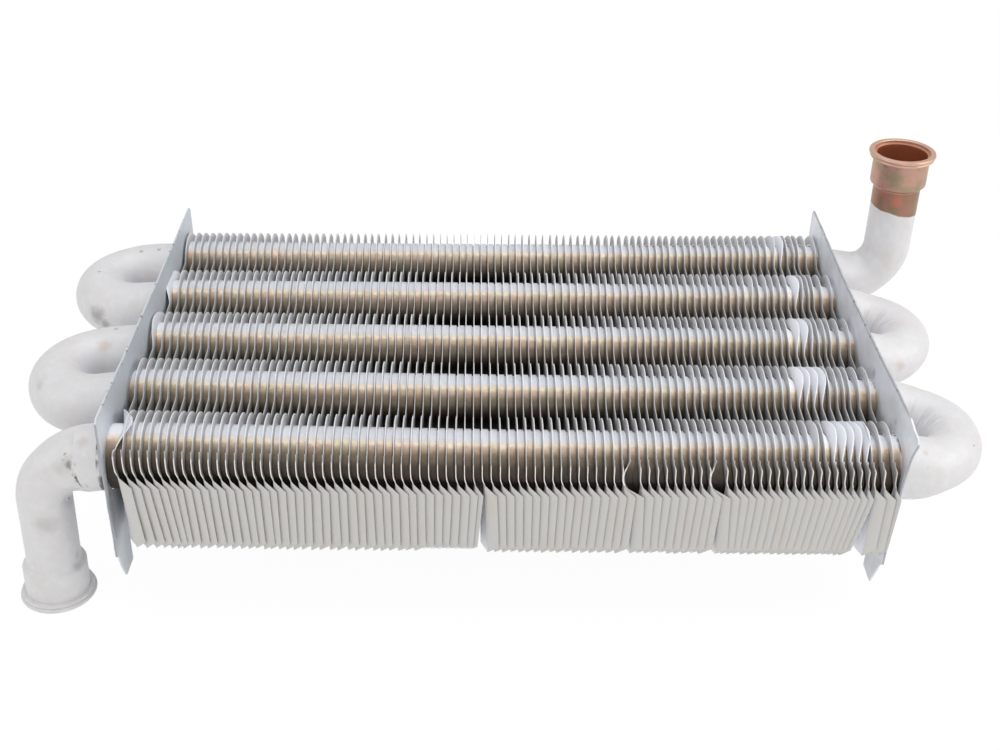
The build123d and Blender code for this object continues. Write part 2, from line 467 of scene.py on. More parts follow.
def make_fin_finish(colours):
    """The fins: paint on lobes, edges and strips, dusted collars round the tubes with painted highlight and
    shade, dark metal deep down that also paints the shade there, and painted light on lobes that face up and
    behind the strips.
    """
    finish, colour = silver_paint("fin_silver_paint", colours.fin_paint, colours.warm_metal, warm_share=0.12)
    away, angle, height = row_polar(finish)
    rough = finish.uneven(4 * MM, 3 * MM)
    out = finish.math("ABSOLUTE", finish.axes()["Y"])

    # The folded strips are warmer and cloudy
    strip = finish.rise(out, first_fin_high.y - 1.7 * MM, first_fin_high.y - 0.9 * MM)
    strip = finish.product(strip, finish.rise(height, 6 * MM, 3 * MM))
    cloudy = finish.rise(finish.cloud(6 * MM, 4, finish.stretched((1, 1, 0.35))), 0.5, 0.75)
    warm_strip = finish.blend(finish.product(cloudy, 0.25), colours.strip_paint, colours.warm_metal)
    colour = finish.blend(strip, colour, warm_strip)

    # Only what the spray reached is painted: lobes, edges, bottoms and the space behind the strips; the rest
    # keeps the dark metal colour, which also paints the shade deep between the fins
    lobe = finish.rise(finish.total(height, rough), 3 * MM, 10.5 * MM)
    edge = finish.rise(finish.total(out, finish.product(rough, 0.3)), 75.6 * MM, 76.9 * MM)
    bottom = finish.rise(height, -21.5 * MM, -24.5 * MM)
    low_end = finish.product(finish.rise(out, 62 * MM, 71 * MM), finish.rise(height, 4 * MM, -6 * MM))
    colour = finish.blend(finish.largest(lobe, edge, bottom, low_end), colours.deep_fin_metal_and_shade, colour)
    # Painted light: the sheet behind the strips, which little light reaches, is made pale
    painted_light_behind_strip = finish.math("SUBTRACT", low_end, strip, clamp=True)
    colour = finish.blend(painted_light_behind_strip, colour, colours.top_paint_and_light)

    # The lobes' rims are darker at their sides, and the bare front edges above the strips catch the light
    rim = finish.product(
        finish.rise(away, 13.6 * MM, 14.1 * MM), finish.rise(height, 12.5 * MM, 10 * MM),
        finish.rise(height, 7.5 * MM, 8.5 * MM), 0.6,
    )
    colour = finish.blend(rim, colour, shaded(colours.strip_paint, 0.7))
    front_edge = finish.product(
        edge, finish.rise(height, 0.5 * MM, 2 * MM), finish.rise(height, 8.5 * MM, 7.5 * MM)
    )
    colour = finish.blend(front_edge, colour, colours.lit_edge)

    # The lobes' tops take dust from above and painted light, and the lobes that were knocked over are painted
    # light on their upturned faces
    bright = finish.product(finish.rise(height, 10.5 * MM, 13.4 * MM), 0.55)
    knocked = finish.nodes.new("ShaderNodeAttribute")
    knocked.attribute_name = "knocked"
    bright = finish.largest(bright, knocked.outputs["Fac"])
    colour = finish.blend(bright, colour, colours.top_paint_and_light)

    # The collars take the tube's dusted colour, with its painted highlight and painted shade
    collar_colour, bare = tube_dust_highlight_and_shade(finish, angle, colours)
    collar = finish.rise(away, 11.15 * MM, 10.95 * MM)
    shine = finish.product(collar, bare)
    finish.give("Base Color", finish.blend(collar, colour, collar_colour))
    finish.give("Metallic", finish.total(0.12, finish.product(shine, 0.4)))
    finish.give("Roughness", finish.difference(0.5, finish.product(shine, 0.15)))
    return finish.material


def make_tube_finish(colours):
    """The tubes: dusted between the plates with a painted highlight and painted shade, painted all round
    outside them, with a painted shadow at each plate.
    """
    finish, colour = fitting_paint("tube_silver_paint", colours)
    x = finish.axes()["X"]
    hairpin_smudges = (
        (-147.6, 25.9, 54.9, 5), (-145, 24, 52, 3.5), (-138, 60.7, 62.6, 1.2), (-131.3, 61.6, 62.7, 1.2),
        (-150, 44.1, 63, 0.9), (-133.9, 0.4, 63, 1.1),
    )
    flux_stains = (
        (-152.6, -30.2, 59.9, 3), (-136.7, -6.7, 60.7, 3.5), (-128.5, -69.2, 61.6, 3), (-126, -71, 58, 2.5),
    )
    stub_soot = ((-130.5, -73, 57, 1.2), (-130, -73.4, 49.6, 1.6), (-129.5, -72.4, 46.8, 1.2))
    stub_lines = (
        ((-129.8, -68, 62), (-128.6, -73.8, 54), 0.5), ((-128.6, -73.8, 54), (-127.6, -73.8, 48), 0.5),
    )
    colour = finish.stains(colour, hairpin_smudges, colours.smudge, 0.6)
    colour = finish.stains(colour, flux_stains, colours.rust, 0.25)
    colour = finish.stains(colour, stub_soot, colours.soot, 0.7)
    colour = finish.streaks(colour, stub_lines, shaded(colours.soot, 3.5), 0.5)

    # Painted shadow on the tube where it leaves a plate, wider at the inlet's end
    past_plate = finish.difference(finish.math("ABSOLUTE", x), right_plate_high.x)
    width = finish.total(0.4 * MM, finish.product(finish.rise(x, 0, -1 * MM), 1.5 * MM))
    plate_contact_shadow = finish.rise(finish.difference(past_plate, width), 0.15 * MM, -0.15 * MM)
    plate_contact_shadow = finish.product(plate_contact_shadow, finish.rise(finish.cloud(7 * MM, 2), 0.38, 0.5), 0.85)
    colour = finish.blend(plate_contact_shadow, colour, colours.soot)

    after_left = finish.rise(x, left_plate_high.x - 1 * MM, left_plate_high.x)
    before_right = finish.rise(x, right_plate_low.x + 1 * MM, right_plate_low.x)
    # Between the plates the tubes take the dusted colour, with its painted highlight and painted shade
    dusted, _ = tube_dust_highlight_and_shade(finish, row_polar(finish)[1], colours)
    finish.give("Base Color", finish.blend(finish.product(after_left, before_right), colour, dusted))
    return finish.material


def make_plate_finish(colours):
    """The end plates: bluish silver paint with faint streaks that run down, scratches and dark spots."""
    paint = colours.plate_paint
    finish, colour = silver_paint("plate_silver_paint", paint, colours.warm_metal, warm_share=0.1)
    x, y, z = finish.axes()
    spots = (
        (121, -58, 66, 2), (121, -30, 66, 2.5), (121, -74, 68, 1.6), (121, -66, 70, 1.2),
        (122, -27.3, 73.8, 1), (121.3, -19.5, 73.8, 1),
    )
    scratches = (
        ((121, -42, 66), (121, -45, 62), 0.5), ((121, -45, 62), (121, -51, 61), 0.6),
        ((121, -51, 61), (121, -53, 57), 0.5), ((121, -36, 70), (121, -38, 66), 0.4),
        ((-121, -74.5, 52), (-121, -73.5, 36), 0.9), ((-121, -76, 44), (-121, -74.5, 30), 0.7),
    )
    streaks = finish.rise(finish.cloud(2 * MM, 2, finish.stretched((1, 1, 0.15))), 0.5, 0.8)
    colour = finish.blend(finish.product(streaks, 0.2), colour, shaded(paint, 0.75))

    # Painted light: the right plate and both front ends are lighter, standing in for light that reaches them,
    # and the right plate is also blotched
    right = finish.rise(x, 0, 1 * MM)
    front = finish.rise(y, -62 * MM, -72 * MM)
    light = finish.largest(finish.product(front, 0.35), finish.product(right, 0.9))
    colour = finish.blend(light, colour, colours.top_paint_and_light)
    dull = finish.product(right, finish.rise(finish.cloud(7 * MM, 4), 0.35, 0.7), 0.2)
    colour = finish.blend(dull, colour, shaded(paint, 0.6))

    # Painted shade: the left plate is darker low down at the front
    low = finish.product(
        finish.rise(y, -66 * MM, -75 * MM),
        finish.rise(z, 52 * MM, 44 * MM),
        finish.rise(z, 22 * MM, 30 * MM),
        finish.difference(0.5, finish.product(right, 0.5)),
    )
    colour = finish.blend(low, colour, shaded(paint, 0.4))

    # Cut edges show dark, and the worn top edge is chipped
    out, end, top = finish.math("ABSOLUTE", y), left_plate_high.y, left_plate_high.z
    end_edge = finish.rise(out, end - 0.5 * MM, end - 0.3 * MM)
    top_edge = finish.rise(z, top - 0.7 * MM, top - 0.4 * MM)
    edge = finish.largest(end_edge, finish.product(top_edge, right))
    colour = finish.blend(finish.product(edge, 0.8), colour, shaded(paint, 0.55))
    colour = finish.stains(colour, spots, colours.soot, 0.4)
    colour = finish.streaks(colour, scratches, shaded(colours.soot, 3), 0.6)
    worn = finish.rise(z, top - 1.2 * MM, top - 0.5 * MM)
    chips = finish.product(finish.rise(finish.cloud(2.2 * MM, 4), 0.6, 0.66), worn, 0.8)
    finish.give("Base Color", finish.blend(chips, colour, colours.soot))
    return finish.material


def make_fitting_finish(colours):
    """The bends and elbows: off-white silver paint with flux stains and smudges, cracked paint and painted
    shade along the inlet's creases, and painted shade of wrinkles inside the return bends.
    """
    finish, colour = fitting_paint("fitting_silver_paint", colours)
    x, y, z = finish.axes()
    soot = colours.soot
    corner_soot = (
        (-132.3, -72.6, 56.8, 1.9), (-134, -71.5, 58, 1.1), (-131.4, -73.2, 54.5, 1.3),
        (-130.2, -73.8, 51, 1.4), (-129.2, -73.9, 48, 1.2),
    )
    # Dark lines along the inlet's creases: cracked paint, and painted shade in the creases
    crease_cracks_and_shade = (
        ((-133.2, -70.5, 59), (-131.8, -72.4, 56.5), 1.2), ((-131.8, -72.6, 56.5), (-130, -73.8, 53), 1.2),
        ((-130, -73.8, 53), (-129, -74, 46), 1.1), ((-137, -70.5, 56), (-133, -72.8, 55.5), 0.8),
        ((-136, -71.5, 53), (-133, -73.2, 54), 0.7), ((-135.5, -69.5, 41.5), (-136.5, -65.5, 38.5), 0.9),
    )
    inlet_smudges = (
        (-134, -72, 56, 4.5), (-132, -72, 58, 3), (-143.1, -72.4, 33.6, 5.5), (-136.1, -66.4, 16.4, 3),
        (-137, -68, 13.5, 2.5),
    )
    flux_stains = (
        (137.8, -6.8, 55.3, 3), (127.3, -20, 60, 1.5), (128, -27, 59, 1.5), (129.5, -68.7, 61.8, 1.6),
        (129.8, -71, 58, 1.6), (133, -48, 62, 4),
    )
    specks = (
        (133.6, -71.6, 57.1, 0.45), (147.3, -60.5, 59.1, 0.45), (133.7, 63.6, 62.9, 0.8),
        (131, 63.6, 63.2, 0.8),
    )
    colour = finish.stains(colour, corner_soot, soot, 0.75)
    colour = finish.streaks(colour, crease_cracks_and_shade, soot, 0.8)

    # The brazed seam between row 5's stub and the outlet elbow, a dark joint that also paints the shadow at
    # the stub's end
    past_stub = finish.math("ABSOLUTE", finish.difference(x, long_hairpin_high.x))
    seam = finish.rise(past_stub, 0.5 * MM, 0.2 * MM)
    seam = finish.product(seam, finish.rise(y, 40 * MM, 45 * MM), 0.6)
    colour = finish.blend(seam, colour, shaded(soot, 3))
    colour = finish.stains(colour, inlet_smudges, shaded(soot, 3.2), 0.3)
    colour = finish.stains(colour, flux_stains, colours.rust, 0.3)
    colour = finish.stains(colour, specks, soot, 1.0)

    # Painted shade of wrinkles on the inside of the two return bends, in dark lines which fan out from the
    # middle of each
    across = finish.math("FLOORED_MODULO", finish.total(y, 2.5 * row_pitch), 2 * row_pitch)
    across = finish.difference(across, row_pitch)
    along = finish.difference(x, bend_high.x - (bend_high.y - bend_low.y) / 2)
    inner = finish.rise(finish.length(across, along), 14 * MM, 8 * MM)
    fan = finish.product(finish.math("ARCTAN2", across, along), 14 * MM)
    folds = finish.cloud(1.6 * MM, 3, finish.joined(fan, finish.product(z, 0.15)))
    wrinkle_shade = finish.product(finish.rise(folds, 0.45, 0.7), inner, finish.rise(x, 0, 1 * MM), 0.35)
    finish.give("Base Color", finish.blend(wrinkle_shade, colour, shaded(soot, 4)))
    return finish.material


def make_socket_finish(colours):
    """The outlet: silver paint up to a slanted edge below the shoulder, tarnished copper above it."""
    finish, colour = fitting_paint("outlet_copper_and_paint", colours)
    x, y, z = finish.axes()
    metal = finish.ramp(finish.cloud(8 * MM, 4, roughness=0.6), (
        (0.3, colours.tarnish), (0.44, (0.4, 0.29, 0.2)), (0.52, colours.copper), (0.6, (0.55, 0.32, 0.27)),
        (0.72, (0.52, 0.22, 0.15)),
    ))
    neck = finish.rise(z, outlet_high.z - 13.5 * MM, outlet_high.z - 14.5 * MM)
    metal = finish.blend(finish.product(neck, 0.6), metal, (0.25, 0.11, 0.07))
    metal = finish.stains(metal, ((146.5, 55.5, 89, 3.5), (142, 57.5, 91, 2)), (0.6, 0.19, 0.11), 0.6)
    metal = finish.stains(metal, ((146, 55.5, 84.5, 3), (153, 57.6, 86, 3.5)), (0.27, 0.23, 0.13), 0.55)
    rim = finish.rise(z, outlet_high.z - 3 * MM, outlet_high.z - 2 * MM)
    metal = finish.blend(finish.product(rim, 0.7), metal, (0.78, 0.5, 0.38))

    # The inside of the socket is darker and redder
    leg_x = outlet_high.x - (outlet_high.y - outlet_low.y) / 2
    apart = finish.vector("DISTANCE", finish.joined(x, y), (leg_x, rows_y[4], 0), output="Value")
    inside = finish.product(
        finish.rise(apart, 9.6 * MM, 9.3 * MM),
        finish.rise(z, outlet_high.z - 13.8 * MM, outlet_high.z - 13.2 * MM), 0.85,
    )
    metal = finish.blend(inside, metal, (0.5, 0.16, 0.07))

    # The paint ends at a line that slants across the leg
    paint_end = outlet_high.z - 22.5 * MM
    slant = finish.product(finish.difference(x, leg_x), 0.2)
    ragged = finish.product(finish.cloud(2.5 * MM), 1.2 * MM)
    bare = finish.rise(finish.total(z, slant, ragged), paint_end, paint_end + 0.5 * MM)
    finish.give("Base Color", finish.blend(bare, colour, metal))
    finish.give("Metallic", finish.total(0.12, finish.product(bare, 0.6)))
    finish.give("Roughness", finish.difference(0.5, finish.product(bare, 0.12)))
    return finish.material


# Mesh helpers


def new_verts(result):
    """The vertices that an operator made."""
    return [item for item in result["geom"] if isinstance(item, bmesh.types.BMVert)]


def edges_within(verts):
    """The edges whose two ends are both in a list of vertices."""
    chosen = set(verts)
    return [edge for edge in {e for v in verts for e in v.link_edges} if set(edge.verts) <= chosen]


def shade(bm, sharp=radians(32)):
    """Smooth faces, with an edge kept sharp where the surface turns by more than an angle."""
    for face in bm.faces:
        face.smooth = True
    for edge in bm.edges:
        edge.smooth = edge.calc_face_angle(pi) < sharp


# The twist of the block: how far it is raised at the front row, the middle row and the back row, as (X, lift)
# in millimetres
front_lifts = [(-118, 1.7), (-90, 1.1), (-60, 0.7), (-30, 0.35), (0, 0), (60, 0.1), (118, 0)]
middle_lifts = [(-118, 0.7), (118, 0.8)]
back_lifts = [(-118, 0), (0, 0.7), (60, 0.9), (118, 1.6)]
left_bend_droop = 1.2 * MM


def block_lift(co):
    """How far a point is raised: the finned block is a little twisted, and the bends at the left droop."""
    depth = max(-1.2, min(1.2, co.y / rows_y[4]))
    middle = between(middle_lifts, co.x / MM)
    outer = between(front_lifts if depth < 0 else back_lifts, co.x / MM)
    lift = (middle + (outer - middle) * abs(depth)) * MM
    lift *= eased(abs(co.x), 135.5 * MM, 121 * MM) * eased(co.z, 14 * MM, 60 * MM)
    past_plate = eased(-co.x, 124 * MM, 150 * MM)
    behind_row_1 = eased(co.y, -50 * MM, -42 * MM)
    return lift - left_bend_droop * past_plate * behind_row_1


def make_piece(bm, name, material, slot, *replaced):
    """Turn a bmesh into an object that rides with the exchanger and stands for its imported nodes."""
    drawn = bm.verts.layers.float_vector.new("drawn_place")
    for vert in bm.verts:
        vert[drawn] = vert.co
        vert.co.z += block_lift(vert.co)
    mesh = bpy.data.meshes.new(name)
    bm.to_mesh(mesh)
    bm.free()
    mesh.materials.append(material)
    piece = bpy.data.objects.new(name, mesh)
    bpy.context.scene.collection.objects.link(piece)
    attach(piece, "root")
    if replaced:
        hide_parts(*replaced)
    return piece


class Pipe:
    """A round wall drawn along a route from one open ring."""

    def __init__(self, bm, centre, heading, radius, segments):
        self.bm = bm
        self.centre = Vector(centre)
        self.heading = Vector(heading)
        self.radius = radius
        place = Matrix.Translation(self.centre) @ self.heading.to_track_quat("Z", "Y").to_matrix().to_4x4()
        ring = bmesh.ops.create_circle(bm, segments=segments, radius=radius, matrix=place)
        self.verts = ring["verts"]
        self.first = edges_within(self.verts)
        self.edges = self.first

    def extrude(self):
        """A new ring on top of the last one."""
        self.verts = new_verts(bmesh.ops.extrude_edge_only(self.bm, edges=self.edges))
        self.edges = edges_within(self.verts)

    def run(self, length, steps=1):
        """Straight on."""
        for _ in range(steps):
            self.extrude()
            bmesh.ops.translate(self.bm, verts=self.verts, vec=self.heading * length / steps)
        self.centre += self.heading * length

    def scale(self, radius):
        """Give the last ring another radius."""
        for vert in self.verts:
            vert.co = self.centre + (vert.co - self.centre) * radius / self.radius
        self.radius = radius

    def widen(self, radius, forward=0.0):
        """A new ring of another radius, further on."""
        self.run(forward)
        self.scale(radius)

    def turn(self, pivot, axis, angle, steps, radius_at=None):
        """Round a bend, with the radius at each share of it if it tapers."""
        part = angle / steps
        swing = Matrix.Rotation(part, 3, axis)
        for step in range(1, steps + 1):
            result = bmesh.ops.spin(
                self.bm, geom=self.edges, cent=pivot, axis=axis, angle=part, steps=1, use_duplicate=False
            )
            self.verts = new_verts({"geom": result["geom_last"]})
            self.edges = edges_within(self.verts)
            self.centre = Vector(pivot) + swing @ (self.centre - Vector(pivot))
            self.heading = swing @ self.heading
            if radius_at:
                self.scale(radius_at(step / steps))

    def back(self):
        """Turn the heading round, to draw the inside of the wall."""
        self.heading = -self.heading


def ruffle(bm, amount, size, seed):
    """Move the surface in and out by a soft pattern, so that no drawn tube is perfectly even."""
    bm.normal_update()
    offset = Vector((seed, 2 * seed, 3 * seed))
    moves = [(v, v.normal * noise.noise(v.co / size + offset) * amount) for v in bm.verts]
    for vert, move in moves:
        vert.co += move


def crease(bm, marks, width, depth):
    """Press a crease into the surface along a line of points given in millimetres."""
    bm.normal_update()
    points = [Vector(mark) * MM for mark in marks]
    moves = []
    for vert in bm.verts:
        away = width
        for start, end in zip(points, points[1:]):
            share = min(1, max(0, (vert.co - start).dot(end - start) / (end - start).length_squared))
            away = min(away, (vert.co - start.lerp(end, share)).length)
        if away < width:
            rough = 0.7 + 0.6 * noise.noise(vert.co / (2 * MM))
            moves.append((vert, vert.normal * -depth * rough * eased(away, width, 0)))
    for vert, move in moves:
        vert.co += move


def keep_within(bm, low, high):
    """Hold every vertex inside a box."""
    for vert in bm.verts:
        vert.co = Vector(min(max(c, a), b) for c, a, b in zip(vert.co, low, high))


def slant_inlet_end(bm):
    """Lean the joint between row 1's stub and the inlet elbow, which is further out at the top."""
    for vert in bm.verts:
        near = eased(abs(vert.co.x - row_1_low.x), 6 * MM, 1 * MM)
        near *= eased(abs(vert.co.z - axis_z), 14 * MM, 10.8 * MM)
        vert.co.x -= 0.15 * (vert.co.z - axis_z) * near


# Fins


def fin_corners(fins):
    """Angles from straight up at which one row's share of the fin changes its outline."""
    ring_out = fins.lobe_radius + fins.valley_fillet
    fillet_z = fins.valley_height + fins.valley_fillet
    fillet_y = sqrt(ring_out**2 - fillet_z**2)
    lobe_end = atan2(fillet_y, fillet_z)
    floor_start = atan2(fillet_y, fins.valley_height)
    floor_end = atan2(row_pitch / 2, fins.valley_height)
    side_end = atan2(row_pitch / 2, -fins.bottom_depth)
    return lobe_end, floor_start, floor_end, side_end


def fin_reach(angle, fins):
    """How far one row's share of the fin reaches from the tube's axis at an angle from straight up."""
    lobe_end, floor_start, floor_end, side_end = fin_corners(fins)
    if angle <= lobe_end:
        return fins.lobe_radius
    if angle < floor_start:
        ring_out = fins.lobe_radius + fins.valley_fillet
        along = ring_out * cos(angle - lobe_end)
        return along - sqrt(max(0, fins.valley_fillet**2 - ring_out**2 + along**2))
    if angle < floor_end:
        return fins.valley_height / cos(angle)
    if angle < side_end:
        return row_pitch / 2 / sin(angle)
    return -fins.bottom_depth / cos(angle)


def add_fin_share(bm, row_y, fins):
    """The collar and the sheet round one tube, out to the middle of the space to the next tube."""
    lobe_end, floor_start, floor_end, side_end = fin_corners(fins)
    corners = (0, lobe_end, floor_start, floor_end, side_end, pi)
    half = []
    for start, end, steps in zip(corners, corners[1:], (6, 3, 1, 7, 4)):
        half += [start + (end - start) * step / steps for step in range(steps)]
    angles = half + [pi] + [-angle for angle in reversed(half[1:])]
    hole = tube_radius + fins.collar_gap
    ring = bmesh.ops.create_circle(bm, segments=len(angles), radius=hole)["verts"]
    edges = edges_within(ring)

    def set_ring(verts_and_angles, x, radius_at):
        for vert, angle in verts_and_angles:
            radius = radius_at(abs(angle))
            vert.co = Vector((x, row_y + radius * sin(angle), axis_z + radius * cos(angle)))

    marked = list(zip(ring, angles))
    set_ring(marked, fins.collar_length, lambda angle: hole)
    flare = hole + fins.collar_flare
    halfway = hole + 0.2 * fins.collar_flare
    steps = [(0.45 * fins.collar_flare, lambda angle: halfway), (0, lambda angle: flare)]
    for share in (0.5, 1):
        steps.append((0, lambda angle, share=share: flare + share * (fin_reach(angle, fins) - flare)))
    for x, radius_at in steps:
        verts = new_verts(bmesh.ops.extrude_edge_only(bm, edges=edges))
        edges = edges_within(verts)
        marked = [(v, atan2(v.co.y - row_y, v.co.z - axis_z)) for v in verts]
        set_ring(marked, x, radius_at)


def fold_edge(bm, side, fins):
    """Cut the sheet at its front or back edge and fold a strip towards the outlet's end."""
    tip_x = first_fin_high.x - first_fin_low.x - (fins_per_node - 1) * fin_pitch
    tip_y = first_fin_high.y
    turn, bend = fins.strip_turn, fins.strip_bend
    length = (tip_x - fins.strip_pull - bend * (1 - cos(turn))) / sin(turn)
    fold_y = tip_y - bend * sin(turn) - length * cos(turn)
    edge_y = fold_y + 0.75 * MM
    collar_end = rows_y[-1] + tube_radius + fins.collar_gap + fins.collar_flare
    inner_y = max(fold_y - 1.5 * MM, collar_end + 0.1 * MM)
    outer_faces = [f for f in bm.faces if side * f.calc_center_median().y > rows_y[-1] + 6 * MM]
    # Level cuts above and below the strip's top let the sheet bend there
    levels = [fins.strip_top + rise * MM for rise in (0, 1.5, 3.5, 5.5)]
    levels += [fins.strip_top - fins.strip_chamfer - step * 3.8 * MM for step in range(6)]
    for level in levels:
        geom = {item for f in outer_faces if f.is_valid for item in (f, *f.edges, *f.verts)}
        cut = bmesh.ops.bisect_plane(bm, geom=list(geom), plane_co=(0, 0, axis_z + level), plane_no=UP)
        outer_faces = [item for item in cut["geom"] if isinstance(item, bmesh.types.BMFace)]
    everything = bm.verts[:] + bm.edges[:] + bm.faces[:]
    bmesh.ops.bisect_plane(
        bm, geom=everything, plane_co=(0, side * inner_y, 0), plane_no=(0, side, 0), clear_outer=True
    )
    edge = [v for v in bm.verts if abs(side * v.co.y - inner_y) < 0.001 * MM]
    for share in (1 / 3, 0.68, 1):
        y = inner_y + (edge_y - inner_y) * share
        edge = new_verts(bmesh.ops.extrude_edge_only(bm, edges=edges_within(edge)))
        for vert in edge:
            vert.co.y = side * y
            past = max(0, y - fold_y)
            fade = eased(vert.co.z - axis_z, fins.strip_top + 1.5 * MM, fins.strip_top)
            vert.co.x = bend * (1 - cos(past / bend)) * fade
    strip = [v for v in edge if v.co.z - axis_z < fins.strip_top + 0.01 * MM]
    start = edge_y - fold_y
    bend_length = bend * turn
    stations = [start + (bend_length - start) * share for share in (0.5, 1)]
    stations += [bend_length + length * share for share in (0.5, 1)]
    full = bend_length + length - start
    top, bottom = fins.strip_top, -fins.bottom_depth
    last = start
    for station in stations:
        strip = new_verts(bmesh.ops.extrude_edge_only(bm, edges=edges_within(strip)))
        before, now = (last - start) / full, (station - start) / full
        for vert in strip:
            low, high = bottom + fins.strip_rise * before, top - fins.strip_chamfer * before
            share = (vert.co.z - axis_z - low) / (high - low)
            low, high = bottom + fins.strip_rise * now, top - fins.strip_chamfer * now
            vert.co.z = axis_z + low + share * (high - low)
            arc = min(station, bend_length)
            straight = max(0, station - bend_length)
            vert.co.x = bend * (1 - cos(arc / bend)) + straight * sin(turn)
            vert.co.y = side * (fold_y + bend * sin(arc / bend) + straight * cos(turn))
        last = station
    return fold_y


def make_fin_sheet(fins):
    """One fin as it leaves the press, with its back face at X = 0."""
    bm = bmesh.new()
    for row_y in rows_y:
        add_fin_share(bm, row_y, fins)
    bmesh.ops.remove_doubles(bm, verts=bm.verts[:], dist=0.002 * MM)
    fold_y = 0
    for side in (-1, 1):
        fold_y = fold_edge(bm, side, fins)
    bmesh.ops.recalc_face_normals(bm, faces=bm.faces[:])
    below_tubes = Vector((0, 0, axis_z - 20 * MM))
    sheet_face = min(bm.faces, key=lambda face: (face.calc_center_median() - below_tubes).length)
    if sheet_face.normal.x > 0:
        bmesh.ops.reverse_faces(bm, faces=bm.faces[:])
    bmesh.ops.solidify(bm, geom=bm.faces[:], thickness=fins.thickness)
    shade(bm)
    return bm, fold_y


# Marks of wear: fin numbers count from 0 at the inlet's end, rows from 0 at the front.
# Lean of the front strips at their bottom, in millimetres towards the outlet's end
strip_leans = [
    (0, 2.4), (2, 3.2), (4, 2.9), (6, 1.7), (13, 1.2), (17, 0.3), (20, -0.6), (24, 0), (28, 0.4), (34, 0),
    (36, -0.6), (39, -1.3), (41, -2.2), (42, 1.2), (45, 0.3), (49, -0.5), (52, -1.4), (58, -1.5), (59, 0.6),
    (62, -1.0), (68, -1.7), (69, 1.1), (71, -0.6), (74, -1.7), (79, -2.7), (84, -3.8), (87, -5.6), (88, -0.6),
    (89, -0.5), (90, -1.6),
]
# Strips folded further than the others: the share of the width that is left
strip_squeezes = {41: 0.75, 84: 0.9, 85: 0.82, 86: 0.76, 87: 0.66, 90: 0.55}
# Strips whose bottom edges curl back, and by how much, in millimetres
curled_strips = range(35, 42)
strip_curl = 1.6
# Uneven spacing: how far a fin is pushed along the tubes, in millimetres, at row 1 and at row 5
row_1_pushes = [
    (0, 0.4), (10, 0), (26, 0.3), (34, 0.5), (41, 1.0), (49, 1.4), (57, 1.6), (72, 1.2), (80, 0.9), (87, 0),
]
row_5_pushes = [(0, -1.7), (10, -1.5), (20, -0.7), (34, -0.3), (45, 0), (52, 0.5), (60, 1.1), (90, 1.2)]
# The same for the front edges alone, below the shoulder
edge_pushes = [
    (0, -0.15), (11, -0.3), (18, -0.25), (34, -0.1), (41, 0.1), (56, 0.2), (64, 0.9), (79, 1.2), (90, 1.2),
]
# Shift of a single fin, in millimetres
fin_shifts = {0: -0.3, 59: -0.3, 69: -0.2, 87: -0.2, 88: -1.0, 89: -0.6, 90: 0.3}
# Kinked front edges: how far the edge above the strip stands aside, in millimetres
front_kinks = {59: -2.2, 69: -2.2}
# Lobes knocked over: (row, fin) to the angle in degrees, towards the outlet's end if positive
bent_lobes = {
    (0, 81): 18, (0, 83): 40, (0, 84): 52, (0, 85): 50, (0, 86): 48, (0, 87): 50,
    (1, 81): 52, (1, 82): 48, (1, 83): 48, (1, 84): 50,
    (2, 83): 36, (2, 84): 52, (2, 85): 20,
    (3, 79): 14, (3, 85): 48, (3, 86): 16,
    (4, 84): 20, (4, 85): 36,
    (3, 0): -46, (2, 0): -22,
}
# A lobe bends from this height above the tube's axis, and is painted fully light from this angle on
lobe_hinge = 8.6 * MM
full_light_lean = 36
# The first fin's lobe over row 1 is torn: its angle, the height it bends from, and where the tear runs
torn_lobe_lean = 70
first_fin_hinge = 7 * MM
torn_from, torn_to = rows_y[0] + 7 * MM, rows_y[0] + 1 * MM


def bend_fin(co, number, fold_y, fins, quirks):
    """Where a point of the pressed fin ends up on one fin, and how much painted light its knocked lobe takes.
    """
    x, y, z = co
    height = z - axis_z
    row = min(range(5), key=lambda r: abs(rows_y[r] - y))
    knock = bent_lobes.get((row, number), 0)
    if number == 0 and row == 0:
        knock = torn_lobe_lean * eased(y, torn_from, torn_to)
    tilt = quirks["tilt"][row] + radians(knock)
    hinge = first_fin_hinge if number == 0 else lobe_hinge
    if height > hinge and tilt:
        lobe = fins.lobe_radius - hinge
        share = (height - hinge) / lobe
        radius = lobe / tilt
        x += radius * (1 - cos(tilt * share))
        z = axis_z + hinge + radius * sin(tilt * share)
    front_push, back_push = quirks["push"]
    depth = (y - rows_y[0]) / (rows_y[-1] - rows_y[0])
    x += (front_push + (back_push - front_push) * depth) * MM
    side = -1 if y < 0 else 1
    out = abs(y)
    top = fins.strip_top
    near_edge = eased(out, fold_y - 4 * MM, fold_y + 0.3 * MM)
    if near_edge:
        if out > fold_y and side < 0:
            x += (quirks["squeeze"] - 1) * co.x
        shoulder = eased(out, fold_y - 1 * MM, fold_y + 0.7 * MM)
        shoulder *= eased(height, top + 2 * MM, fins.valley_height)
        z += shoulder * (fins.shoulder_rise if side < 0 else -fins.back_shoulder_drop)
        x += near_edge * fins.strip_pull * eased(height, top + 3 * MM, top - 1 * MM)
        below = max(0, (top + 1 * MM - height) / (top + fins.bottom_depth))
        x += near_edge * quirks["lean"][side] * MM * below**1.1
        if side < 0:
            kinked = eased(height, top + 9 * MM, top + 4 * MM) * eased(height, top - 4 * MM, top)
            pushed = eased(height, 9 * MM, 6 * MM)
            x += near_edge * (quirks["kink"] * kinked + quirks["edge_push"] * pushed) * MM
        low = max(0, (4 * MM - fins.bottom_depth - height) / (4 * MM))
        y -= side * quirks["curl"] * MM * low**2
    wave = 0.12 * MM * noise.noise(Vector((number * 7.3, y * 40, z * 55)))
    # Painted light: a knocked lobe is painted paler the further it leans, as its face turns up to the light
    dusted = min(1, abs(knock) / full_light_lean) * eased(height, 7.5 * MM, 10.5 * MM)
    return Vector((x + wave, y, z)), dusted


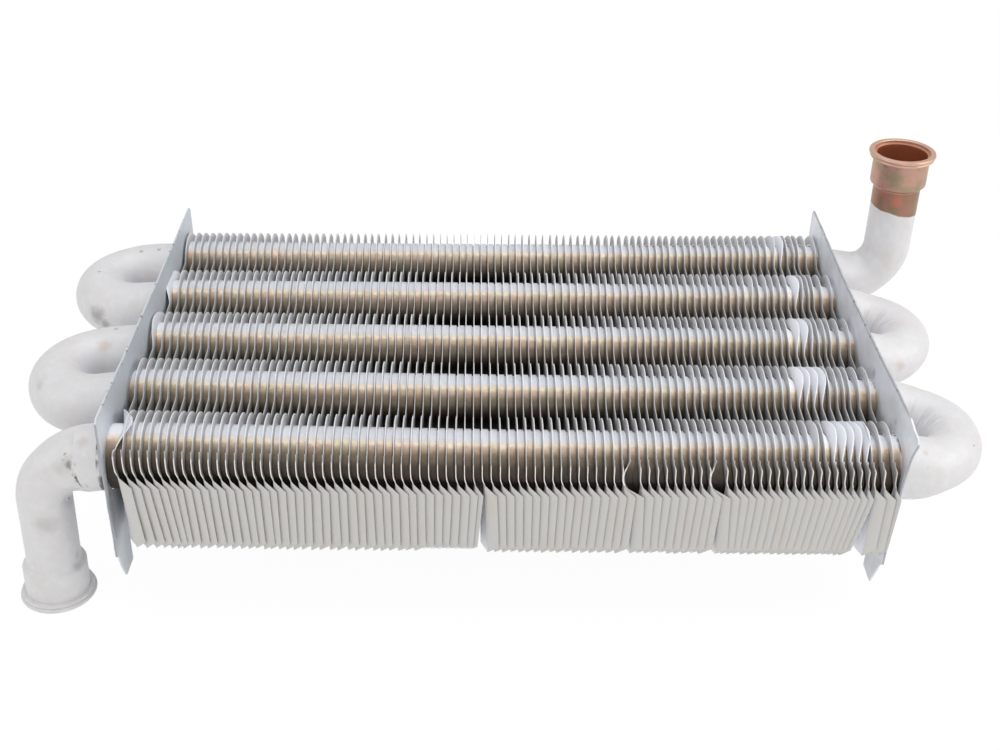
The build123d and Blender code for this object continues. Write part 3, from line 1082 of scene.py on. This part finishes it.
def make_fins(sizes, colours):
    """Every fin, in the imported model's groups."""
    sheet, fold_y = make_fin_sheet(sizes)
    material = make_fin_finish(colours)
    dice = Random(7)
    pressed = bpy.data.meshes.new("pressed_fin")
    sheet.to_mesh(pressed)
    sheet.free()
    for group, node in enumerate(fin_nodes):
        bm = bmesh.new()
        knocked = bm.verts.layers.float.new("knocked")
        low_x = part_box(node)[0].x
        for place in range(fins_per_node):
            number = group * fins_per_node + place
            quirks = {
                "tilt": [dice.gauss(0, 0.03) for _ in rows_y],
                "lean": {-1: between(strip_leans, number) + dice.gauss(0, 0.1), 1: dice.gauss(0, 0.5)},
                "kink": front_kinks.get(number, 0),
                "squeeze": strip_squeezes.get(number, 1),
                "push": (between(row_1_pushes, number), between(row_5_pushes, number)),
                "edge_push": between(edge_pushes, number),
                "curl": strip_curl if number in curled_strips else max(0, dice.gauss(0.1, 0.2)),
            }
            shift = (fin_shifts.get(number, 0) + dice.gauss(0, 0.05)) * MM
            start = len(bm.verts)
            bm.from_mesh(pressed)
            bm.verts.ensure_lookup_table()
            move = Vector((low_x + place * fin_pitch + shift, 0, 0))
            for vert in bm.verts[start:]:
                vert.co, vert[knocked] = bend_fin(vert.co, number, fold_y, sizes, quirks)
                vert.co += move
        make_piece(bm, f"{node}_painted", material, "fin", node)
    bpy.data.meshes.remove(pressed)


# Tubes, bends and elbows


def finish_pipe(bm, name, material, slot, wall, *replaced):
    """Give a drawn tube its wall and make it a piece."""
    bmesh.ops.recalc_face_normals(bm, faces=bm.faces[:])
    shade(bm)
    piece = make_piece(bm, name, material, slot, *replaced)
    solidify = piece.modifiers.new("wall", "SOLIDIFY")
    solidify.thickness = wall
    solidify.offset = -1
    return piece


def make_row_1_tube(sizes, material):
    """Row 1: a straight tube through both plates, belled at its inlet end."""
    bm = bmesh.new()
    pipe = Pipe(bm, (row_1_low.x, rows_y[0], axis_z), ALONG, sizes.stub_radius, sizes.segments)
    stub = left_plate_low.x - row_1_low.x
    plate_clearance, taper = 1.2 * MM, 0.8 * MM
    pipe.run(stub - plate_clearance, steps=7)
    pipe.widen(tube_radius, taper)
    pipe.run(row_1_high.x - pipe.centre.x, steps=60)
    ruffle(bm, amount=0.05 * MM, size=12 * MM, seed=1)
    slant_inlet_end(bm)
    finish_pipe(bm, "row_1_tube_painted", material, "tube", sizes.wall, "row_1_tube")


def make_hairpin(name, front_row, back_end_x, sizes, material):
    """Two rows drawn from one tube and bent outside the left plate."""
    front_y, back_y = rows_y[front_row], rows_y[front_row + 1]
    bend_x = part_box(name)[0].x + tube_radius + row_pitch / 2
    front_end_x = row_1_high.x
    bm = bmesh.new()
    pipe = Pipe(bm, (front_end_x, front_y, axis_z), -ALONG, tube_radius, sizes.segments)
    pipe.run(front_end_x - bend_x, steps=60)
    pipe.turn((bend_x, (front_y + back_y) / 2, axis_z), -UP, pi, steps=40)
    pipe.run(back_end_x - bend_x, steps=60)
    ruffle(bm, amount=0.12 * MM, size=14 * MM, seed=front_row)
    finish_pipe(bm, f"{name}_painted", material, "tube", sizes.wall, name)


def make_return_bend(name, front_row, sizes, material):
    """The bend that joins two rows outside the right plate, swollen where it is brazed into them."""
    low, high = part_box(name)
    front_y, back_y = rows_y[front_row], rows_y[front_row + 1]
    bend_x = high.x - sizes.return_radius - row_pitch / 2
    arc = pi * row_pitch / 2
    brazed = tube_radius - 0.05 * MM

    def radius_at(share):
        past = min(share, 1 - share) * arc
        return sizes.return_radius + (brazed - sizes.return_radius) * eased(past, sizes.brazed_length, 0)

    bm = bmesh.new()
    pipe = Pipe(bm, (low.x, front_y, axis_z), ALONG, sizes.return_radius, sizes.segments)
    pipe.run(bend_x - low.x, steps=4)
    pipe.widen(brazed)
    pipe.turn((bend_x, (front_y + back_y) / 2, axis_z), UP, pi, steps=52, radius_at=radius_at)
    pipe.widen(sizes.return_radius)
    pipe.run(bend_x - low.x, steps=4)
    ruffle(bm, amount=0.2 * MM, size=9 * MM, seed=5 + front_row)
    for vert in bm.verts:
        vert.co.x = min(vert.co.x, high.x)
    finish_pipe(bm, f"{name}_painted", material, "fitting", sizes.fitting_wall, name)


# The flange's rolled edge: how far out of the flange's width, and each step along its thickness
flange_profile = (
    (0.15, 0.0), (0.5, 0.02), (0.68, 0.06), (0.76, 0.12), (0.72, 0.12), (0.6, 0.1), (0.62, 0.04),
    (0.86, 0.05), (0.97, 0.09), (1.0, 0.12), (0.97, 0.13), (0.86, 0.1), (0.6, 0.05),
)
# Creases in the inlet elbow's crumpled inner corner, in millimetres
inlet_creases = (
    ((-133.6, -69.5, 60.6), (-132, -72.2, 57.5), (-131, -73.2, 53.5), (-130.2, -73.4, 49)),
    ((-135.5, -69.5, 41.5), (-136.5, -65.5, 38.5)),
    ((-133, -71, 46), (-131, -72.5, 50)),
)
# How far the inlet's leg leans outwards at its mouth
inlet_leg_lean = 0.9 * MM


def make_elbow(name, row, side, tubes, socket, material):
    """An elbow with its belled socket: down at the inlet (side -1), up at the outlet (side 1)."""
    low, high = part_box(name)
    y = rows_y[row]
    start_x = high.x if side < 0 else low.x
    flange_radius = (high.y - low.y) / 2
    leg_x = low.x + flange_radius if side < 0 else high.x - flange_radius
    bend_x = leg_x - side * tubes.elbow_bend
    mouth = abs((low.z if side < 0 else high.z) - axis_z)
    brazed = (tubes.stub_radius if side < 0 else tube_radius) - 0.1 * MM
    bend_length = pi / 2 * tubes.elbow_bend

    def radius_at(share):
        swell = eased(share * bend_length, 1.4 * tubes.brazed_length, 0)
        return tubes.elbow_radius + (brazed - tubes.elbow_radius) * swell

    bm = bmesh.new()
    # Outside, from the brazed joint to the mouth
    pipe = Pipe(bm, (start_x, y, axis_z), ALONG * side, tubes.elbow_radius, tubes.segments)
    pivot = (bend_x, y, axis_z + side * tubes.elbow_bend)
    pipe.run(abs(bend_x - start_x), steps=4)
    pipe.widen(brazed)
    pipe.turn(pivot, -BACK, pi / 2, steps=26, radius_at=radius_at)
    shoulder = mouth - socket.depth
    neck = shoulder - socket.shoulder - tubes.elbow_bend
    pipe.run(neck, steps=14)
    shoulder_steps = 5
    for step in range(1, shoulder_steps + 1):
        rise = (1 - cos(pi * step / shoulder_steps)) / 2
        radius = tubes.elbow_radius + (socket.body_radius - tubes.elbow_radius) * rise
        pipe.widen(radius, socket.shoulder / shoulder_steps)
    pipe.run(socket.depth - socket.flange_thickness, steps=6)
    flange_width = flange_radius - socket.body_radius
    for width, forward in flange_profile:
        pipe.widen(socket.body_radius + width * flange_width, forward * socket.flange_thickness)
    # Inside, from the mouth back to the joint
    pipe.back()
    mouth_chamfer = 0.3 * MM
    pipe.widen(socket.step_radius + mouth_chamfer)
    pipe.widen(socket.step_radius, mouth_chamfer)
    pipe.run(socket.step_depth - mouth_chamfer)
    pipe.widen(socket.bore_radius)
    pipe.run(socket.depth - socket.step_depth, steps=4)
    pipe.widen(tubes.elbow_radius - tubes.fitting_wall, socket.shoulder)
    pipe.run(neck, steps=4)
    pipe.turn(pivot, BACK, pi / 2, steps=12)
    pipe.run(abs(bend_x - start_x), steps=2)
    bmesh.ops.bridge_loops(bm, edges=pipe.first + pipe.edges)
    bmesh.ops.recalc_face_normals(bm, faces=bm.faces[:])
    ruffle(bm, amount=0.08 * MM, size=10 * MM, seed=11 + side)
    if side < 0:
        for marks in inlet_creases:
            crease(bm, marks, width=2.6 * MM, depth=1.1 * MM)
        slant_inlet_end(bm)
        for vert in bm.verts:
            vert.co.x -= inlet_leg_lean * eased(axis_z - vert.co.z, 10 * MM, mouth)
    # The leaning inlet may pass its packed elbow a little, towards the hairpins' side
    lean_room = 2 * MM
    keep_within(bm, Vector((low.x - lean_room, low.y, low.z)), high)
    shade(bm)
    return make_piece(bm, f"{name}_finished", material, "fitting", name)


# End plates


def bend_plate(co, low, high, seed, thickness_share):
    """Where a point of an end plate ends up: thinner, wavy, and at the outlet knocked outward at its top."""
    inner_x = low.x if co.x > 0 else high.x
    co.x = inner_x + (co.x - inner_x) * thickness_share
    up = (co.z - axis_z) / (high.z - axis_z)
    front = eased(co.y, 30 * MM, low.y)
    wave = noise.noise(Vector((seed, co.y * 22, co.z * 30)))
    move = Vector((0.5 * MM * wave * eased(abs(up), 0.4, 1), 0, 0))
    move.z -= 1.0 * MM * eased(co.z, low.z + 11 * MM, low.z)
    if co.x > 0:
        move.x += (2.0 if up > 0 else 0.8) * MM * up * front
        corner = eased(co.y, low.y + 14 * MM, low.y) * eased(co.z, high.z - 9 * MM, high.z)
        move.x += 0.6 * MM * corner
        move.z -= 2.6 * MM * corner
    else:
        wrinkled = eased(co.y, low.y + 22 * MM, low.y) * eased(up, 0.2, -0.6)
        slope = Vector((co.y * 90, (co.z + co.y * 0.4) * 160, 2.5))
        move.x += 0.55 * MM * noise.noise(slope) * wrinkled
    # Chipped edges
    if high.z - co.z < 0.3 * MM:
        move.z -= 0.3 * MM * abs(noise.noise(Vector((seed + 5, co.y * 300, 1))))
        move.x += 0.2 * MM * noise.noise(Vector((seed + 9, co.y * 160, 1)))
    elif min(co.y - low.y, high.y - co.y) < 0.3 * MM:
        chip = 0.3 * MM * abs(noise.noise(Vector((seed + 5, 1, co.z * 300))))
        move.y += chip if co.y < 0 else -chip
    return co + move


def make_plate(name, material, seed, sizes):
    """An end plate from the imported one, cut into a grid and made a little wavy and chipped."""
    bm = bmesh.new()
    bm.from_mesh(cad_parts[name].data)
    bmesh.ops.remove_doubles(bm, verts=bm.verts[:], dist=0.005 * MM)
    low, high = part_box(name)
    for axis, start, end in ((BACK, low.y, high.y), (UP, low.z, high.z)):
        place = start + sizes.grid
        while place < end - sizes.grid / 2:
            everything = bm.verts[:] + bm.edges[:] + bm.faces[:]
            bmesh.ops.bisect_plane(bm, geom=everything, plane_co=axis * place, plane_no=axis)
            place += sizes.grid
    for vert in bm.verts:
        vert.co = bend_plate(vert.co.copy(), low, high, seed, sizes.thickness_share)
    shade(bm)
    return make_piece(bm, f"{name}_painted", material, "end_plate", name)


# Stage


def make_floor(settings):
    """A wide pale floor that shows white to the camera and keeps the exchanger's shadow."""
    bm = bmesh.new()
    level = Matrix.Translation((0, 0, cad_low.z))
    bmesh.ops.create_grid(bm, x_segments=2, y_segments=2, size=4.0, matrix=level)
    mesh = bpy.data.meshes.new("floor")
    bm.to_mesh(mesh)
    bm.free()
    floor = bpy.data.objects.new("floor", mesh)
    bpy.context.scene.collection.objects.link(floor)
    finish = Finish("white_floor", roughness=0.9)
    finish.give("Base Color", settings.floor_colour)
    glow = finish.nodes.new("ShaderNodeEmission")
    mix = finish.nodes.new("ShaderNodeMixShader")
    rays = finish.nodes.new("ShaderNodeLightPath")
    rays_seen = ("Is Camera Ray", "Is Glossy Ray", "Is Transmission Ray")
    seen = finish.largest(*[rays.outputs[name] for name in rays_seen])
    glow.inputs["Strength"].default_value = settings.floor_glow
    finish.feed(mix.inputs[0], finish.product(seen, settings.floor_glow_share))
    finish.links.new(finish.shader.outputs[0], mix.inputs[1])
    finish.links.new(glow.outputs[0], mix.inputs[2])
    finish.links.new(mix.outputs[0], finish.output.inputs["Surface"])
    mesh.materials.append(finish.material)


def make_lamp(name, place, target, size, watts, colour):
    """A soft square lamp that points at a place."""
    lamp = bpy.data.lights.new(name, "AREA")
    lamp.shape = "RECTANGLE"
    lamp.size, lamp.size_y = size
    lamp.energy = watts
    lamp.color = colour
    light = bpy.data.objects.new(name, lamp)
    bpy.context.scene.collection.objects.link(light)
    light.location = place
    light.rotation_mode = "QUATERNION"
    light.rotation_quaternion = (Vector(target) - Vector(place)).to_track_quat("-Z", "Y")


def make_lamps():
    """A soft lamp overhead, one at the outlet's side, and weaker ones at the inlet's side and in front."""
    lamps = (
        ("overhead_lamp", (0.15, 0.1, 1.0), (1.2, 0.9), 4.6, (0.97, 0.985, 1.0)),
        ("outlet_side_lamp", (1.0, -0.25, 0.55), (0.8, 0.8), 3.6, (1.0, 0.985, 0.97)),
        ("inlet_side_lamp", (-1.0, -0.35, 0.5), (0.8, 0.8), 1.9, (0.98, 0.99, 1.0)),
        ("front_lamp", (0.1, -1.1, 0.75), (1.0, 0.6), 1.6, (1.0, 0.98, 0.95)),
    )
    for name, place, size, watts, colour in lamps:
        make_lamp(name, place, Vector((0, 0, axis_z)), size, watts, colour)


def make_world(settings):
    """Even white light all round."""
    world = bpy.data.worlds.new("studio")
    bpy.context.scene.world = world
    world.use_nodes = True
    background = world.node_tree.nodes["Background"]
    background.inputs["Color"].default_value = (1.0, 1.0, 1.0, 1)
    background.inputs["Strength"].default_value = settings.world_strength


def make_camera(settings):
    """The camera where the photographer stood."""
    data = bpy.data.cameras.new("camera")
    data.lens = settings.lens
    data.clip_start = 0.01
    camera = bpy.data.objects.new("camera", data)
    bpy.context.scene.collection.objects.link(camera)
    camera.location = (settings.camera_x, settings.camera_y, settings.camera_z)
    turn = Euler((pi / 2 - settings.camera_pitch, 0, -settings.camera_yaw)).to_matrix()
    camera.rotation_mode = "QUATERNION"
    camera.rotation_quaternion = (turn @ Matrix.Rotation(settings.camera_roll, 3, "Z")).to_quaternion()
    bpy.context.scene.camera = camera


# Operators


class EXCHANGER_OT_fins(bpy.types.Operator):
    """Make the fins, with their lobes, collars and folded strips"""

    bl_idname = "exchanger.fins"
    bl_label = "Make fins"

    def execute(self, context):
        make_fins(context.scene.exchanger_fins, context.scene.exchanger_finishes)
        return {"FINISHED"}


class EXCHANGER_OT_tubes(bpy.types.Operator):
    """Make row 1's tube and the two hairpins"""

    bl_idname = "exchanger.tubes"
    bl_label = "Make tubes"

    def execute(self, context):
        sizes = context.scene.exchanger_tubes
        material = make_tube_finish(context.scene.exchanger_finishes)
        make_row_1_tube(sizes, material)
        make_hairpin("rows_2_3_hairpin_tube", 1, hairpin_high.x, sizes, material)
        make_hairpin("rows_4_5_hairpin_tube", 3, long_hairpin_high.x, sizes, material)
        return {"FINISHED"}


class EXCHANGER_OT_return_bends(bpy.types.Operator):
    """Make the two return bends, swollen at their brazed ends"""

    bl_idname = "exchanger.return_bends"
    bl_label = "Make return bends"

    def execute(self, context):
        sizes = context.scene.exchanger_tubes
        material = make_fitting_finish(context.scene.exchanger_finishes)
        make_return_bend("rows_1_2_return_bend", 0, sizes, material)
        make_return_bend("rows_3_4_return_bend", 2, sizes, material)
        return {"FINISHED"}


class EXCHANGER_OT_elbows(bpy.types.Operator):
    """Make the inlet and outlet elbows with their sockets"""

    bl_idname = "exchanger.elbows"
    bl_label = "Make elbows"

    def execute(self, context):
        scene = context.scene
        colours = scene.exchanger_finishes
        tubes, socket = scene.exchanger_tubes, scene.exchanger_socket
        painted = make_fitting_finish(colours)
        make_elbow("inlet_elbow", 0, -1, tubes, socket, painted)
        make_elbow("outlet_elbow", 4, 1, tubes, socket, make_socket_finish(colours))
        return {"FINISHED"}


class EXCHANGER_OT_plates(bpy.types.Operator):
    """Make the two end plates"""

    bl_idname = "exchanger.plates"
    bl_label = "Make end plates"

    def execute(self, context):
        sizes = context.scene.exchanger_plates
        material = make_plate_finish(context.scene.exchanger_finishes)
        make_plate("left_end_plate", material, 3, sizes)
        make_plate("right_end_plate", material, 8, sizes)
        return {"FINISHED"}


class EXCHANGER_OT_stage(bpy.types.Operator):
    """Set the floor, the lamps, the world and the camera"""

    bl_idname = "exchanger.stage"
    bl_label = "Set the stage"

    def execute(self, context):
        scene = context.scene
        settings = scene.exchanger_stage
        make_floor(settings)
        make_lamps()
        make_world(settings)
        make_camera(settings)
        scene.view_settings.view_transform = "Standard"
        return {"FINISHED"}


class EXCHANGER_PT_panel(bpy.types.Panel):
    """The heat exchanger's pieces and sizes"""

    bl_label = "Heat exchanger"
    bl_idname = "EXCHANGER_PT_panel"
    bl_space_type = "VIEW_3D"
    bl_region_type = "UI"
    bl_category = "Exchanger"

    def draw(self, context):
        for operator in making_order:
            self.layout.operator(operator.bl_idname)
        for name, group in size_groups.items():
            box = self.layout.box()
            for key in group.__annotations__:
                box.prop(getattr(context.scene, name), key)


size_groups = {
    "exchanger_fins": FinSizes,
    "exchanger_tubes": TubeSizes,
    "exchanger_socket": SocketSizes,
    "exchanger_plates": PlateSizes,
    "exchanger_finishes": Finishes,
    "exchanger_stage": StageSettings,
}
making_order = (
    EXCHANGER_OT_stage,
    EXCHANGER_OT_fins,
    EXCHANGER_OT_tubes,
    EXCHANGER_OT_return_bends,
    EXCHANGER_OT_elbows,
    EXCHANGER_OT_plates,
)


def register():
    """Register the classes and give the scene its size groups."""
    for group in (*size_groups.values(), *making_order, EXCHANGER_PT_panel):
        bpy.utils.register_class(group)
    for name, group in size_groups.items():
        setattr(bpy.types.Scene, name, PointerProperty(type=group))


def unregister():
    """Undo register."""
    for name in size_groups:
        delattr(bpy.types.Scene, name)
    for group in reversed((*size_groups.values(), *making_order, EXCHANGER_PT_panel)):
        bpy.utils.unregister_class(group)


def main():
    """Make every piece in order."""
    register()
    for operator in making_order:
        namespace, name = operator.bl_idname.split(".")
        getattr(getattr(bpy.ops, namespace), name)()


if __name__ == "__main__":
    main()
